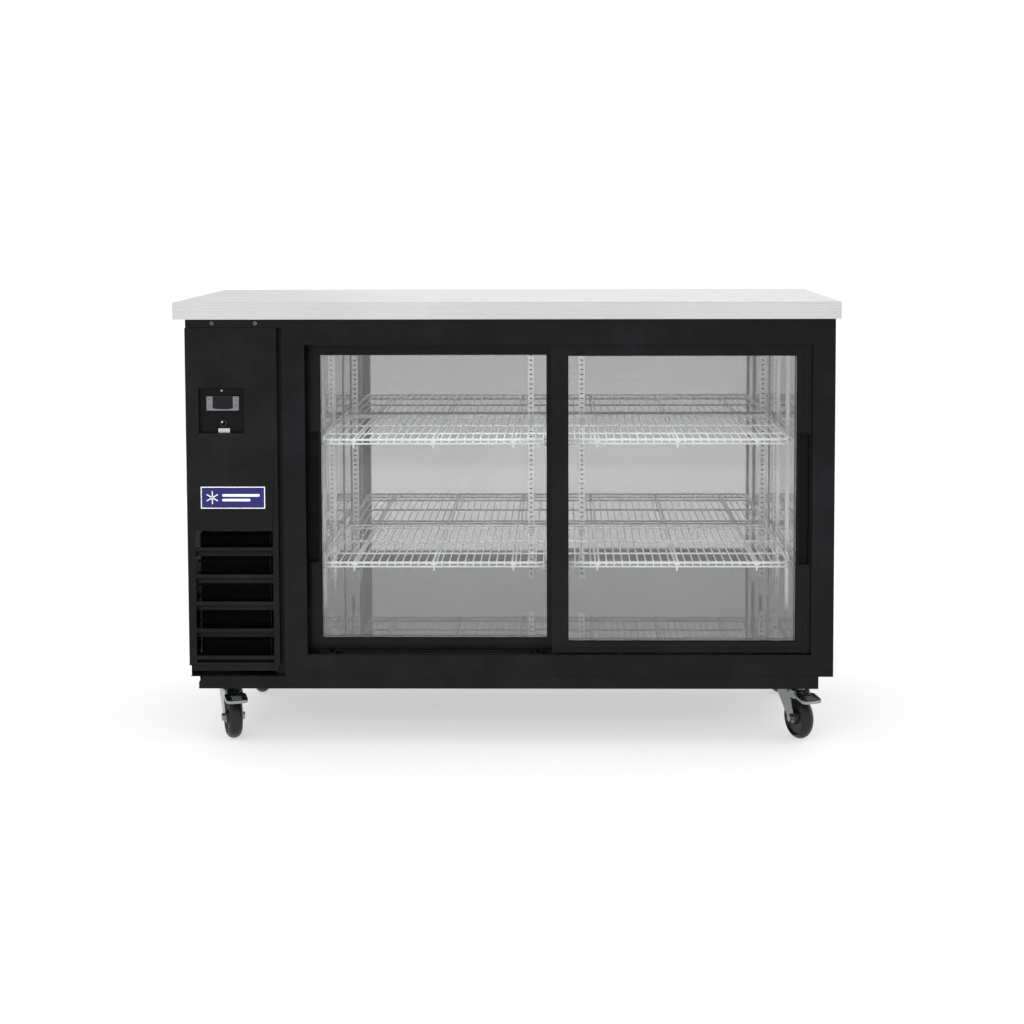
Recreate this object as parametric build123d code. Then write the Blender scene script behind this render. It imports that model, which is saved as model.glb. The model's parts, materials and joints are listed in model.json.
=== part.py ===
from build123d import *
import os

# Two-door back-bar refrigerator on casters, with the machine compartment on the left.
# Units are millimetres. +X is the viewer's right, +Y the back and +Z up.
# The origin is on the floor, under the middle of the worktop.

# ---------------------------------------------------------------- driving dimensions
TOP_W, TOP_D, TOP_T = 1549.0, 711.0, 40.0
TOTAL_H = 1045.0
TOP_SKIN = 1.2
TOP_Z = TOTAL_H - TOP_T

SHEET = 1.0                                   # outer panel thickness
CAB_X0, CAB_X1 = -747.5, 763.0
CAB_Y0, CAB_Y1 = -343.0, 352.0
CAB_Z0 = 162.5

FRAME_X0, FRAME_X1 = -523.0, 763.0            # fixed frame round the two doors
FRAME_Z0, FRAME_Z1 = 162.5, 997.5
FRAME_Y0, FRAME_Y1 = CAB_Y0, -258.0
FRAME_LIP_W, FRAME_LIP_T = 52.0, 8.0
FRAME_WALL, FRAME_SILL = 35.0, 30.0

CAV_X0, CAV_X1 = -454.0, 678.0                # cold cavity, inside the liner
CAV_Y0, CAV_Y1 = FRAME_Y1, 304.4
CAV_Z0, CAV_Z1 = 228.0, 950.0
LINER = 0.6

BOX_X0, BOX_Z0, BOX_WALL = -720.0, 570.0, 30.0   # evaporator box beside the cavity

DOOR_W, DOOR_Z0, DOOR_Z1, DOOR_T = 611.7, 217.0, 957.0, 30.0
DOOR_STILE, DOOR_RAIL = 37.8, 26.2
FRONT_DOOR_X0, FRONT_DOOR_Y0 = 103.6, -330.0
REAR_DOOR_X0, REAR_DOOR_Y0 = -480.0, -295.0
BEAD_W, BEAD_STEP = 15.0, 2.0
PANE_T, PANE_GAP, GLASS_BITE, GLASS_GAP = 4.0, 12.0, 3.5, 0.5
PULL_W, PULL_D, PULL_Z0, PULL_Z1 = 25.0, 15.0, 426.0, 736.0
PULL_WALL, PULL_RIM, PULL_FROM_EDGE = 1.6, 1.8, 8.4

ROLLER_R, ROLLER_T, ROLLER_Z, ROLLER_INSET = 9.5, 6.0, 210.0, 60.0
ROLLER_PIN_R, RUN_FIT = 2.0, 0.05
TRACK_GAP = 0.3

COVER_X0, COVER_X1 = -749.0, -535.4           # removable cover of the machine compartment
COVER_Z0, COVER_Z1 = 189.0, 985.0
COVER_Y, COVER_T, COVER_RETURN = -344.5, 1.2, 18.0
LOUVRE_X0, LOUVRE_X1, LOUVRE_Z0, LOUVRE_Z1 = -731.0, -549.0, 196.0, 510.0
LOUVRE_COUNT, LOUVRE_PITCH, LOUVRE_TOP_Z, LOUVRE_LIP = 5, 64.3, 465.0, 9.5
RIVET_X = (-738.0, -543.0)

POCKET_X0, POCKET_X1, POCKET_Z0, POCKET_Z1 = -718.4, -611.8, 738.8, 845.2
POCKET_FLOOR_Y, POCKET_T, POCKET_FLANGE = -331.2, 1.2, 6.0
CTRL_X0, CTRL_X1, CTRL_Z0, CTRL_Z1 = -702.0, -625.0, 790.6, 825.0
CTRL_BEZEL, CTRL_DEPTH = 3.8, 60.0
KEY_W, KEY_H, KEY_DEPTH, KEY_PROUD, KEY_GAP = 9.0, 10.0, 2.6, 0.8, 0.35
SWITCH_X, SWITCH_Z, SWITCH_R, SWITCH_BORE = -662.6, 761.0, 10.0, 4.6
LEVER_R, LEVER_LEN, LEVER_TILT = 1.9, 24.0, 12.0
BADGE_X0, BADGE_X1, BADGE_Z0, BADGE_Z1, BADGE_T = -716.0, -565.6, 561.7, 613.4, 1.2

BASE_X0, BASE_X1, BASE_Y, BASE_Z0, BASE_T = -728.0, 730.0, 341.0, 133.0, 2.0

CASTER_X, CASTER_Y = (-671.0, 677.0), (-245.0, 198.0)
CASTER_TURN = (19.0, 23.0)                    # degrees from straight ahead, left pair and right pair
WHEEL_R, WHEEL_T, HUB_T, AXLE_R, TRAIL = 51.0, 32.0, 35.0, 6.0, 38.0
PLATE_W, PLATE_D, PLATE_T = 95.0, 70.0, 5.0
PEDAL_PIVOT, PEDAL_PIVOT_Z = 47.0, 113.0

SHELF_W, SHELF_Y0, SHELF_Y1 = 542.0, -257.0, 295.0
SHELF_X0 = (-448.5, 131.0)
SHELF_Z = (421.0, 716.0)                      # centre height of the top wires
WIRE_R, CROSS_R, RIM_R, RIM_CORNER = 1.6, 2.2, 2.8, 24.0
RIM_Z, FRONT_DROP = -3.2, 9.5                 # rim below the top wires, and front bar below the rim
WIRE_COUNT = 29

STANDARD_W, STANDARD_T, SLOT_PITCH, SLOT_W, SLOT_H = 16.0, 4.5, 12.7, 7.0, 3.2
STANDARD_Z0, STANDARD_Z1 = 272.0, 930.0
BACK_STANDARDS = (-423.0, 45.0, 180.0, 660.0)     # X of those on the back wall
SIDE_STANDARDS = (-115.0, 95.0)                   # Y of those on both side walls
POST_X0, POST_X1, POST_Y1 = 98.0, 127.0, -228.0

FAN_X, COND_FAN_Z, COND_FAN_Y, COND_FAN_R = -640.0, 345.0, -236.0, 88.0
EVAP_FAN_X, EVAP_FAN_Z, EVAP_FAN_Y, EVAP_FAN_R = -590.0, 770.0, -20.0, 72.0
PIPE_R = 4.0
RISER_X, RISER_Y = (-660.0, -620.0), 100.0    # refrigerant lines up into the evaporator box
CONDENSER_TAPS, CONDENSER_TAP_Y = (-570.0, -715.0), -290.0

os.makedirs("parts", exist_ok=True)


# ---------------------------------------------------------------- helpers
def slab(x0, x1, y0, y1, z0, z1):
    """A box given by its low and high limits."""
    middle = ((x0 + x1) / 2, (y0 + y1) / 2, (z0 + z1) / 2)
    return Pos(*middle) * Box(x1 - x0, y1 - y0, z1 - z0)


def rod(start, end, radius):
    """A round bar between two points."""
    axis = Vector(end) - Vector(start)
    plane = Plane(origin=start, z_dir=axis)
    return plane * Cylinder(radius, axis.length, align=(Align.CENTER, Align.CENTER, Align.MIN))


def tube(points, radius, bend):
    """A bent round bar: straight runs joined by tangent arcs."""
    path = FilletPolyline(*points, radius=bend)
    return sweep(Plane(origin=path @ 0, z_dir=path % 0) * Circle(radius), path=path)


def frame_ring(box, widths, y0, y1):
    """A rectangular ring in the XZ plane. widths are the left, right, bottom and top bars."""
    x0, x1, z0, z1 = box
    left, right, bottom, top = widths
    hole = slab(x0 + left, x1 - right, y0 - 1, y1 + 1, z0 + bottom, z1 - top)
    return slab(x0, x1, y0, y1, z0, z1) - hole


def mitre(ring, box, widths, y0, y1):
    """Cut a ring into its four bars along the lines from outer to inner corners."""
    x0, x1, z0, z1 = box
    left, right, bottom, top = widths
    outer = [(x0, z0), (x1, z0), (x1, z1), (x0, z1)]
    inner = [(x0 + left, z0 + bottom), (x1 - right, z0 + bottom),
             (x1 - right, z1 - top), (x0 + left, z1 - top)]
    bars = []
    for i in range(4):
        j = (i + 1) % 4
        corners = [outer[i], outer[j], inner[j], inner[i]]
        face = make_face(Polyline(*[(x, y1, z) for x, z in corners], close=True))
        wedge = extrude(face, amount=y1 - y0, dir=(0, -1, 0))
        bars += (ring & wedge).solids()
    return bars


def copies(piece, places):
    return [Pos(*place) * piece for place in places]


def save(name, *pieces):
    """Write one node, as one solid or as a group of separate solids."""
    solids = [solid for piece in pieces for solid in piece.solids()]
    shape = solids[0] if len(solids) == 1 else Compound(children=solids)
    export_step(shape, f"parts/{name}.step")


# ---------------------------------------------------------------- worktop and cabinet
def worktop():
    half_w, half_d = TOP_W / 2, TOP_D / 2
    skin = slab(-half_w, half_w, -half_d, half_d, TOP_Z, TOTAL_H)
    skin = fillet(skin.edges().filter_by(Axis.Z), 3.0)
    skin = fillet(skin.faces().sort_by(Axis.Z)[-1].edges(), 1.5)
    inner_w, inner_d = half_w - TOP_SKIN, half_d - TOP_SKIN
    return skin - slab(-inner_w, inner_w, -inner_d, inner_d, TOP_Z - 1, TOTAL_H - TOP_SKIN)


def outer_panels():
    left_y0 = COVER_Y + COVER_RETURN + 0.5
    left = slab(CAB_X0, CAB_X0 + SHEET, left_y0, CAB_Y1, CAB_Z0, TOP_Z)
    right = slab(CAB_X1 - SHEET, CAB_X1, FRAME_Y1, CAB_Y1, CAB_Z0, TOP_Z)
    inner_x0, inner_x1, inner_y1 = CAB_X0 + SHEET, CAB_X1 - SHEET, CAB_Y1 - SHEET
    back = slab(inner_x0, inner_x1, inner_y1, CAB_Y1, CAB_Z0, TOP_Z)
    for row in range(12):
        z = 215.0 + row * 24.0
        back -= slab(-715, -560, inner_y1 - 1, CAB_Y1 + 1, z, z + 7)
    floor_machine = slab(inner_x0, FRAME_X0, CAB_Y0 + 2, inner_y1, CAB_Z0, CAB_Z0 + SHEET)
    floor_cold = slab(FRAME_X0, inner_x1, FRAME_Y1, inner_y1, CAB_Z0, CAB_Z0 + SHEET)
    wall_x = FRAME_X0 - SHEET
    wall_front = slab(wall_x, FRAME_X0, CAB_Y0 + 2, CAV_Y0, CAB_Z0 + SHEET, TOP_Z)
    stop_y0 = COVER_Y + COVER_RETURN + 2
    wall_front += slab(wall_x - 24, FRAME_X0, stop_y0, stop_y0 + SHEET, CAB_Z0 + SHEET, TOP_Z - 2)
    wall_rear = slab(wall_x, FRAME_X0, CAV_Y0, inner_y1, CAB_Z0 + SHEET, BOX_Z0)
    header = slab(FRAME_X0, CAB_X1, CAB_Y0 + 1, FRAME_Y1, FRAME_Z1, TOP_Z)
    return left, right, back, floor_machine, floor_cold, wall_front, wall_rear, header


def foam_core():
    """Insulation slabs of the cabinet and the evaporator box, and the core of the worktop."""
    x0, x1, y0, y1 = FRAME_X0, CAB_X1 - SHEET, CAV_Y0 + SHEET, CAV_Y1 + LINER
    z0, z1, back_y = CAB_Z0 + SHEET, TOP_Z, CAB_Y1 - SHEET
    skin_x0, skin_x1 = CAV_X0 - LINER, CAV_X1 + LINER
    skin_z0, skin_z1 = CAV_Z0 - LINER, CAV_Z1 + LINER
    box_floor = BOX_Z0 + BOX_WALL
    box_side = BOX_X0 + BOX_WALL
    box_front = CAV_Y0 + BOX_WALL
    bottom = slab(BOX_X0, skin_x0, y0, y1, BOX_Z0, box_floor)
    for x in RISER_X:
        bottom -= rod((x, RISER_Y, BOX_Z0 - 1), (x, RISER_Y, box_floor + 1), PIPE_R + 2)
    inner_w, inner_d = TOP_W / 2 - TOP_SKIN, TOP_D / 2 - TOP_SKIN
    return (
        slab(x0, x1, y1, back_y, z0, z1),
        slab(x0, x1, y0, y1, z0, skin_z0),
        slab(x0, x1, y0, y1, skin_z1, z1),
        slab(skin_x1, x1, y0, y1, skin_z0, skin_z1),
        slab(x0, skin_x0, y0, y1, skin_z0, BOX_Z0),
        bottom,
        slab(BOX_X0, skin_x0, y0, box_front, box_floor, skin_z1),
        slab(BOX_X0, box_side, box_front, y1, box_floor, skin_z1),
        slab(BOX_X0, x0, y0, y1, skin_z1, z1),
        slab(BOX_X0, x0, y1, back_y, BOX_Z0, z1),
        slab(-inner_w, inner_w, -inner_d, inner_d, TOP_Z, TOTAL_H - TOP_SKIN),
    )


def liner_panels():
    """Stainless sheets of the cavity, and the breaker ring that covers the foam at the front."""
    y0, y1 = CAV_Y0 + SHEET, CAV_Y1
    left = slab(CAV_X0 - LINER, CAV_X0, y0, y1, CAV_Z0, CAV_Z1)
    for row in range(3):
        for column in range(4):
            slot = Rot(35, 0, 0) * Box(4, 5, 12)
            left -= Pos(CAV_X0, -222 + column * 19, 615 + row * 16) * slot
    left -= slab(CAV_X0 - 2, CAV_X0 + 2, -150, 250, 912, 936)
    right = slab(CAV_X1, CAV_X1 + LINER, y0, y1, CAV_Z0, CAV_Z1)
    x0, x1 = CAV_X0 - LINER, CAV_X1 + LINER
    back = slab(x0, x1, y1, y1 + LINER, CAV_Z0 - LINER, CAV_Z1 + LINER)
    floor = slab(x0, x1, y0, y1, CAV_Z0 - LINER, CAV_Z0)
    ceiling = slab(x0, x1, y0, y1, CAV_Z1, CAV_Z1 + LINER)
    ring = slab(FRAME_X0, CAB_X1 - SHEET, CAV_Y0, y0, CAB_Z0 + SHEET, TOP_Z)
    ring -= slab(CAV_X0, CAV_X1, CAV_Y0 - 1, y0 + 1, CAV_Z0, CAV_Z1)
    return left, right, back, floor, ceiling, ring


def base_plinth():
    outer = slab(BASE_X0, BASE_X1, -BASE_Y, BASE_Y, BASE_Z0, CAB_Z0)
    x0, x1, y = BASE_X0 + BASE_T, BASE_X1 - BASE_T, BASE_Y - BASE_T
    tray = outer - slab(x0, x1, -y, y, BASE_Z0 + BASE_T, CAB_Z0 + 1)
    for x, y in plate_bolt_places():
        tray -= rod((x, y, BASE_Z0 - 1), (x, y, BASE_Z0 + BASE_T + 1), 4.3)
    corner = [(BASE_X0 - 1, CAB_Z0 + 1), (BASE_X0 - 1, CAB_Z0 - 15), (BASE_X0 + 11, CAB_Z0 + 1)]
    notch = make_face(Polyline(*[(x, -BASE_Y - 1, z) for x, z in corner], close=True))
    return tray - extrude(notch, amount=15, dir=(0, 1, 0))


def door_frame():
    """Four mitred bars. A front lip hides the edges of the doors that slide behind it."""
    box = (FRAME_X0, FRAME_X1, FRAME_Z0, FRAME_Z1)
    lip = (FRAME_LIP_W,) * 4
    wall = (FRAME_WALL, FRAME_WALL, FRAME_SILL, FRAME_SILL)
    lip_y1 = FRAME_Y0 + FRAME_LIP_T
    ring = frame_ring(box, lip, FRAME_Y0, lip_y1) + frame_ring(box, wall, lip_y1, FRAME_Y1)
    return mitre(ring, box, lip, FRAME_Y0, FRAME_Y1)


def door_tracks():
    """Sill track with two ribs for the rollers, and a three-finned guide for the doors' tops."""
    x0, x1 = FRAME_X0 + FRAME_WALL, FRAME_X1 - FRAME_WALL
    y0, y1 = FRAME_Y0 + FRAME_LIP_T, FRAME_Y1
    sill, head = FRAME_Z0 + FRAME_SILL, FRAME_Z1 - FRAME_SILL
    rib_top = ROLLER_Z - ROLLER_R - TRACK_GAP
    between = (FRONT_DOOR_Y0 + DOOR_T + REAR_DOOR_Y0) / 2
    base = slab(x0, x1, y0, y1, sill, sill + 2.5)
    web = slab(x0, x1, y0, y1, head - 2, head)
    ribs = [slab(x0, x1, middle - 1.5, middle + 1.5, sill + 2.5, rib_top)
            for middle in (FRONT_DOOR_Y0 + DOOR_T / 2, REAR_DOOR_Y0 + DOOR_T / 2)]
    fins = [slab(x0, x1, y - 1, y + 1, 946, head - 2) for y in (y0 + 1, between, y1 - 1)]
    return base, web, *ribs, *fins


# ---------------------------------------------------------------- machine compartment front
def top_strip():
    face = slab(CAB_X0, FRAME_X0, CAB_Y0, CAB_Y0 + 1, COVER_Z1 + 0.5, TOP_Z)
    return face + slab(CAB_X0 + 1.5, FRAME_X0 - 1.5, CAB_Y0, CAB_Y0 + 20, TOP_Z - 1, TOP_Z)


def front_cover():
    """Folded sheet cover with the louvre opening, the control cut-out and a lower flange."""
    outer = slab(COVER_X0, COVER_X1, COVER_Y, COVER_Y + COVER_RETURN, COVER_Z0, COVER_Z1)
    inner = slab(COVER_X0 + COVER_T, COVER_X1 - COVER_T, COVER_Y + COVER_T,
                 COVER_Y + COVER_RETURN + 1, COVER_Z0 + COVER_T, COVER_Z1 - COVER_T)
    cover = outer - inner
    cover -= slab(POCKET_X0, POCKET_X1, COVER_Y - 1, COVER_Y + 3, POCKET_Z0, POCKET_Z1)
    opening = slab(LOUVRE_X0, LOUVRE_X1, COVER_Y - 1, COVER_Y + 3, LOUVRE_Z0, LOUVRE_Z1)
    cover -= fillet(opening.edges().filter_by(Axis.Y).sort_by(Axis.Z)[-2:], 7.0)
    flange_y = COVER_Y + COVER_T + 1
    return cover + slab(-741, -540, flange_y, flange_y + COVER_T, 176, COVER_Z0 + 1)


def louvre_blade():
    """One blade at height 0: a front lip, a sloping web and a lower rear lip."""
    y0, t, half = COVER_Y + COVER_T, 1.2, LOUVRE_LIP / 2
    run, drop = 17.0, 14.0
    profile = [(y0, half), (y0, -half), (y0 + t, -half), (y0 + t, half - 2 * t),
               (y0 + run, half - drop), (y0 + run, -half - drop),
               (y0 + run + t, -half - drop), (y0 + run + t, half - drop + t), (y0 + t, half)]
    width = RIVET_X[1] - RIVET_X[0] + 4
    start = RIVET_X[0] - 2
    face = make_face(Polyline(*[(start, y, z) for y, z in profile], close=True))
    return extrude(face, amount=width, dir=(1, 0, 0))


def louvre_heights():
    return [LOUVRE_TOP_Z - i * LOUVRE_PITCH for i in range(LOUVRE_COUNT)]


def badge_plate():
    plate = slab(BADGE_X0, BADGE_X1, COVER_Y - BADGE_T, COVER_Y, BADGE_Z0, BADGE_Z1)
    return fillet(plate.edges().filter_by(Axis.Y), 2.0)


def control_pocket():
    """Recessed tray behind the cover, cut for the controller and the toggle switch."""
    back_y = POCKET_FLOOR_Y + POCKET_T
    front_y = COVER_Y + COVER_T
    wall = (POCKET_X0 - POCKET_T, POCKET_X1 + POCKET_T, POCKET_Z0 - POCKET_T, POCKET_Z1 + POCKET_T)
    tray = slab(wall[0], wall[1], front_y, back_y, wall[2], wall[3])
    tray += slab(wall[0] - POCKET_FLANGE, wall[1] + POCKET_FLANGE, front_y, front_y + POCKET_T,
                 wall[2] - POCKET_FLANGE, wall[3] + POCKET_FLANGE)
    tray -= slab(POCKET_X0, POCKET_X1, front_y - 1, POCKET_FLOOR_Y, POCKET_Z0, POCKET_Z1)
    tray -= slab(CTRL_X0 + 3, CTRL_X1 - 3, POCKET_FLOOR_Y - 1, back_y + 1, CTRL_Z0 + 3, CTRL_Z1 - 3)
    return tray - rod((SWITCH_X, POCKET_FLOOR_Y - 1, SWITCH_Z), (SWITCH_X, back_y + 1, SWITCH_Z), 6.0)


def key_places():
    """Middles of the four keys: two columns, one each side of the display."""
    columns = (CTRL_X0 + 7.5, CTRL_X1 - 7.5)
    rows = (CTRL_Z0 + 12.0, CTRL_Z1 - 8.0)
    return [(x, z) for x in columns for z in rows]


def controller_body():
    face_y = POCKET_FLOOR_Y - CTRL_BEZEL
    bezel = slab(CTRL_X0, CTRL_X1, face_y, POCKET_FLOOR_Y, CTRL_Z0, CTRL_Z1)
    bezel = fillet(bezel.edges().filter_by(Axis.Y), 2.0)
    body = slab(CTRL_X0 + 3.2, CTRL_X1 - 3.2, POCKET_FLOOR_Y, POCKET_FLOOR_Y + CTRL_DEPTH,
                CTRL_Z0 + 3.2, CTRL_Z1 - 3.2)
    unit = bezel + body
    unit -= slab(CTRL_X0 + 15, CTRL_X1 - 15, face_y - 1, face_y + 0.8, CTRL_Z0 + 7, CTRL_Z1 - 3)
    half_w, half_h = KEY_W / 2 + KEY_GAP, KEY_H / 2 + KEY_GAP
    for x, z in key_places():
        unit -= slab(x - half_w, x + half_w, face_y - 1, face_y + KEY_DEPTH + 0.8,
                     z - half_h, z + half_h)
    return unit


def key_cap(x, z):
    face_y = POCKET_FLOOR_Y - CTRL_BEZEL
    cap = slab(x - KEY_W / 2, x + KEY_W / 2, face_y - KEY_PROUD, face_y + KEY_DEPTH - KEY_PROUD,
               z - KEY_H / 2, z + KEY_H / 2)
    return fillet(cap.edges().filter_by(Axis.Y), 1.5)


def lever_pivot_y():
    return POCKET_FLOOR_Y + 5.0


def switch_bush():
    pivot = lever_pivot_y()
    nut_y = POCKET_FLOOR_Y - 4.3
    nut = rod((SWITCH_X, nut_y, SWITCH_Z), (SWITCH_X, POCKET_FLOOR_Y, SWITCH_Z), SWITCH_R)
    nut = chamfer(nut.edges().sort_by(Axis.Y)[0], 1.2)
    barrel = rod((SWITCH_X, POCKET_FLOOR_Y, SWITCH_Z), (SWITCH_X, pivot + 6, SWITCH_Z), 5.9)
    case = slab(SWITCH_X - 8, SWITCH_X + 8, pivot + 6, pivot + 26, SWITCH_Z - 11, SWITCH_Z + 11)
    bore = rod((SWITCH_X, nut_y - 1, SWITCH_Z), (SWITCH_X, pivot + 4.5, SWITCH_Z), SWITCH_BORE)
    return nut + barrel + case - bore


def switch_lever():
    """Toggle lever, tilted up about its ball."""
    pivot = (SWITCH_X, lever_pivot_y(), SWITCH_Z)
    lever = Sphere(3.6) + Rot(90, 0, 0) * Pos(0, 0, LEVER_LEN / 2) * Cylinder(LEVER_R, LEVER_LEN)
    lever += Pos(0, -LEVER_LEN, 0) * Sphere(2.7)
    return Pos(*pivot) * Rot(-LEVER_TILT, 0, 0) * lever


# ---------------------------------------------------------------- doors
def door_box(x0):
    return (x0, x0 + DOOR_W, DOOR_Z0, DOOR_Z1)


def pull_span(x0, side):
    """The X limits of a door's finger pull, near its left or right edge."""
    if side == "left":
        return x0 + PULL_FROM_EDGE, x0 + PULL_FROM_EDGE + PULL_W
    right = x0 + DOOR_W - PULL_FROM_EDGE
    return right - PULL_W, right


def roller_places(x0):
    return (x0 + ROLLER_INSET, x0 + DOOR_W - ROLLER_INSET)


def door_bars(x0, y0, pull_side):
    """Four mitred bars with a glass groove and a stepped bead, and the two roller carriers."""
    box, y1 = door_box(x0), y0 + DOOR_T
    widths = (DOOR_STILE, DOOR_STILE, DOOR_RAIL, DOOR_STILE)
    bead = tuple(width - BEAD_W for width in widths)
    ring = frame_ring(box, widths, y0 + BEAD_STEP, y1) + frame_ring(box, bead, y0, y0 + 5)
    groove_y0, groove_y1 = glass_span(y0)
    groove = tuple(width - GLASS_BITE - GLASS_GAP for width in widths)
    x_low, x_high, z_low, z_high = box
    ring -= slab(x_low + groove[0], x_high - groove[1], groove_y0 - 0.1, groove_y1 + 0.1,
                 z_low + groove[2], z_high - groove[3])
    pull_x0, pull_x1 = pull_span(x0, pull_side)
    ring -= slab(pull_x0, pull_x1, y0 - 1, y0 + PULL_D, PULL_Z0, PULL_Z1)
    middle = y0 + DOOR_T / 2
    for x in roller_places(x0):
        ring -= slab(x - 12, x + 12, middle - 6.5, middle + 6.5, DOOR_Z0 - 1, ROLLER_Z + ROLLER_R + 2)
    bars = mitre(ring, box, widths, y0, y1)
    carriers = [roller_carrier(x, middle) for x in roller_places(x0)]
    return bars + carriers


def roller_carrier(x, middle):
    """Two cheeks and a pin, hung in the notch of the bottom rail."""
    half, cheek = ROLLER_T / 2 + 0.6, 1.5
    top = ROLLER_Z + ROLLER_R + 2
    piece = slab(x - 12, x + 12, middle - half - cheek, middle + half + cheek, top - 1.5, top)
    for side in (-1, 1):
        low, high = sorted((middle + side * half, middle + side * (half + cheek)))
        piece += slab(x - 6, x + 6, low, high, ROLLER_Z - 4, top)
    pin = rod((x, middle - half - cheek, ROLLER_Z), (x, middle + half + cheek, ROLLER_Z), ROLLER_PIN_R)
    return piece + pin


def glass_span(y0):
    depth = 2 * PANE_T + PANE_GAP
    front = y0 + (DOOR_T - depth) / 2 + 0.5
    return front, front + depth


def door_glass(x0, y0):
    """Two panes of the sealed unit."""
    x_low, x_high, z_low, z_high = door_box(x0)
    side = DOOR_STILE - GLASS_BITE
    x_low, x_high = x_low + side, x_high - side
    z_low, z_high = z_low + DOOR_RAIL - GLASS_BITE, z_high - side
    front, back = glass_span(y0)
    return (slab(x_low, x_high, front, front + PANE_T, z_low, z_high),
            slab(x_low, x_high, back - PANE_T, back, z_low, z_high))


def door_pull(x0, y0, side):
    """Recessed finger pull: a cup with a raised rim."""
    x_low, x_high = pull_span(x0, side)
    cup = slab(x_low, x_high, y0, y0 + PULL_D, PULL_Z0, PULL_Z1)
    rim = 1.0
    cup += slab(x_low - rim, x_high + rim, y0 - PULL_RIM, y0, PULL_Z0 - rim, PULL_Z1 + rim)
    wall = PULL_WALL
    return cup - slab(x_low + wall, x_high - wall, y0 - PULL_RIM - 1, y0 + PULL_D - wall,
                      PULL_Z0 + wall, PULL_Z1 - wall)


def roller(x, y0):
    middle = y0 + DOOR_T / 2
    start, end = middle - ROLLER_T / 2, middle + ROLLER_T / 2
    wheel = rod((x, start, ROLLER_Z), (x, end, ROLLER_Z), ROLLER_R)
    wheel = chamfer(wheel.edges().filter_by(GeomType.CIRCLE), 0.6)
    return wheel - rod((x, start - 1, ROLLER_Z), (x, end + 1, ROLLER_Z), ROLLER_PIN_R + RUN_FIT)


# ---------------------------------------------------------------- shelves and their supports
def wire_shelf():
    """White wire shelf in its own frame: X from 0 to the width, top wires at height 0."""
    y0, y1 = SHELF_Y0, SHELF_Y1
    low, drop = RIM_Z, FRONT_DROP
    pieces = []
    pitch = SHELF_W / WIRE_COUNT
    for i in range(WIRE_COUNT):
        x = (i + 0.5) * pitch
        pieces.append(rod((x, y0 + RIM_R, 0), (x, y1, 0), WIRE_R))
        pieces.append(rod((x, y0 + RIM_R, WIRE_R), (x, y0 + RIM_R, -drop), WIRE_R))
    for y in (y0 + 127, 46, 245):
        pieces.append(rod((2, y, low), (SHELF_W - 2, y, low), CROSS_R))
    outline = Pos(SHELF_W / 2, (y0 + y1) / 2, 0) * RectangleRounded(
        SHELF_W - 2 * RIM_R, y1 - y0 - 2 * RIM_R, RIM_CORNER).wire()
    section = Plane(origin=outline @ 0, z_dir=outline % 0) * Circle(RIM_R)
    pieces.append(Pos(0, 0, low) * sweep(section, path=outline))
    reach = 70
    lower = [(RIM_R, y0 + reach, low), (RIM_R, y0 + RIM_CORNER + 12, low - drop),
             (RIM_R, y0 + RIM_R, low - drop), (SHELF_W - RIM_R, y0 + RIM_R, low - drop),
             (SHELF_W - RIM_R, y0 + RIM_CORNER + 12, low - drop), (SHELF_W - RIM_R, y0 + reach, low)]
    pieces.append(tube(lower, CROSS_R, 14))
    for offset in (-190, 0, 190):
        middle = SHELF_W / 2 + offset
        for side in (-4.5, 4.5):
            x = middle + side
            pieces.append(rod((x, y0 + RIM_R, 2 * low), (x, y1 - RIM_R, 2 * low), CROSS_R))
        pieces.append(rod((middle, y0 + RIM_R, low), (middle, y0 + RIM_R, low - drop - 9), CROSS_R))
        pieces.append(rod((middle - 7, y0 + RIM_R, 2 * low), (middle + 7, y0 + RIM_R, 2 * low), CROSS_R))
    shelf = pieces[0].fuse(*pieces[1:])
    return shelf.solids()[0]


def standard(z0, z1):
    """Slotted shelf standard, standing on the XZ plane and facing -Y."""
    bar = slab(-STANDARD_W / 2, STANDARD_W / 2, -STANDARD_T, 0, z0, z1)
    bar -= slab(-STANDARD_W / 2 + 1.5, STANDARD_W / 2 - 1.5, -STANDARD_T + 1.5, 1, z0 - 1, z1 + 1)
    count = int((z1 - z0 - 20) / SLOT_PITCH)
    slots = [slab(-SLOT_W / 2, SLOT_W / 2, -STANDARD_T - 1, -STANDARD_T + 3, z, z + SLOT_H)
             for z in (z0 + 14 + i * SLOT_PITCH for i in range(count))]
    return bar.cut(*slots)


def shelf_standards():
    bar = standard(STANDARD_Z0, STANDARD_Z1)
    pieces = [Pos(x, CAV_Y1, 0) * bar for x in BACK_STANDARDS]
    for y in SIDE_STANDARDS:
        pieces.append(Pos(CAV_X0, y, 0) * Rot(0, 0, 90) * bar)
        pieces.append(Pos(CAV_X1, y, 0) * Rot(0, 0, -90) * bar)
    post = slab(POST_X0, POST_X1, CAV_Y0 + 2, POST_Y1, CAV_Z0, CAV_Z1)
    post -= slab(POST_X0 + 1.5, POST_X1 - 1.5, CAV_Y0, POST_Y1 - 1.5, CAV_Z0 - 1, CAV_Z1 + 1)
    return pieces + [post]


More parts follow.
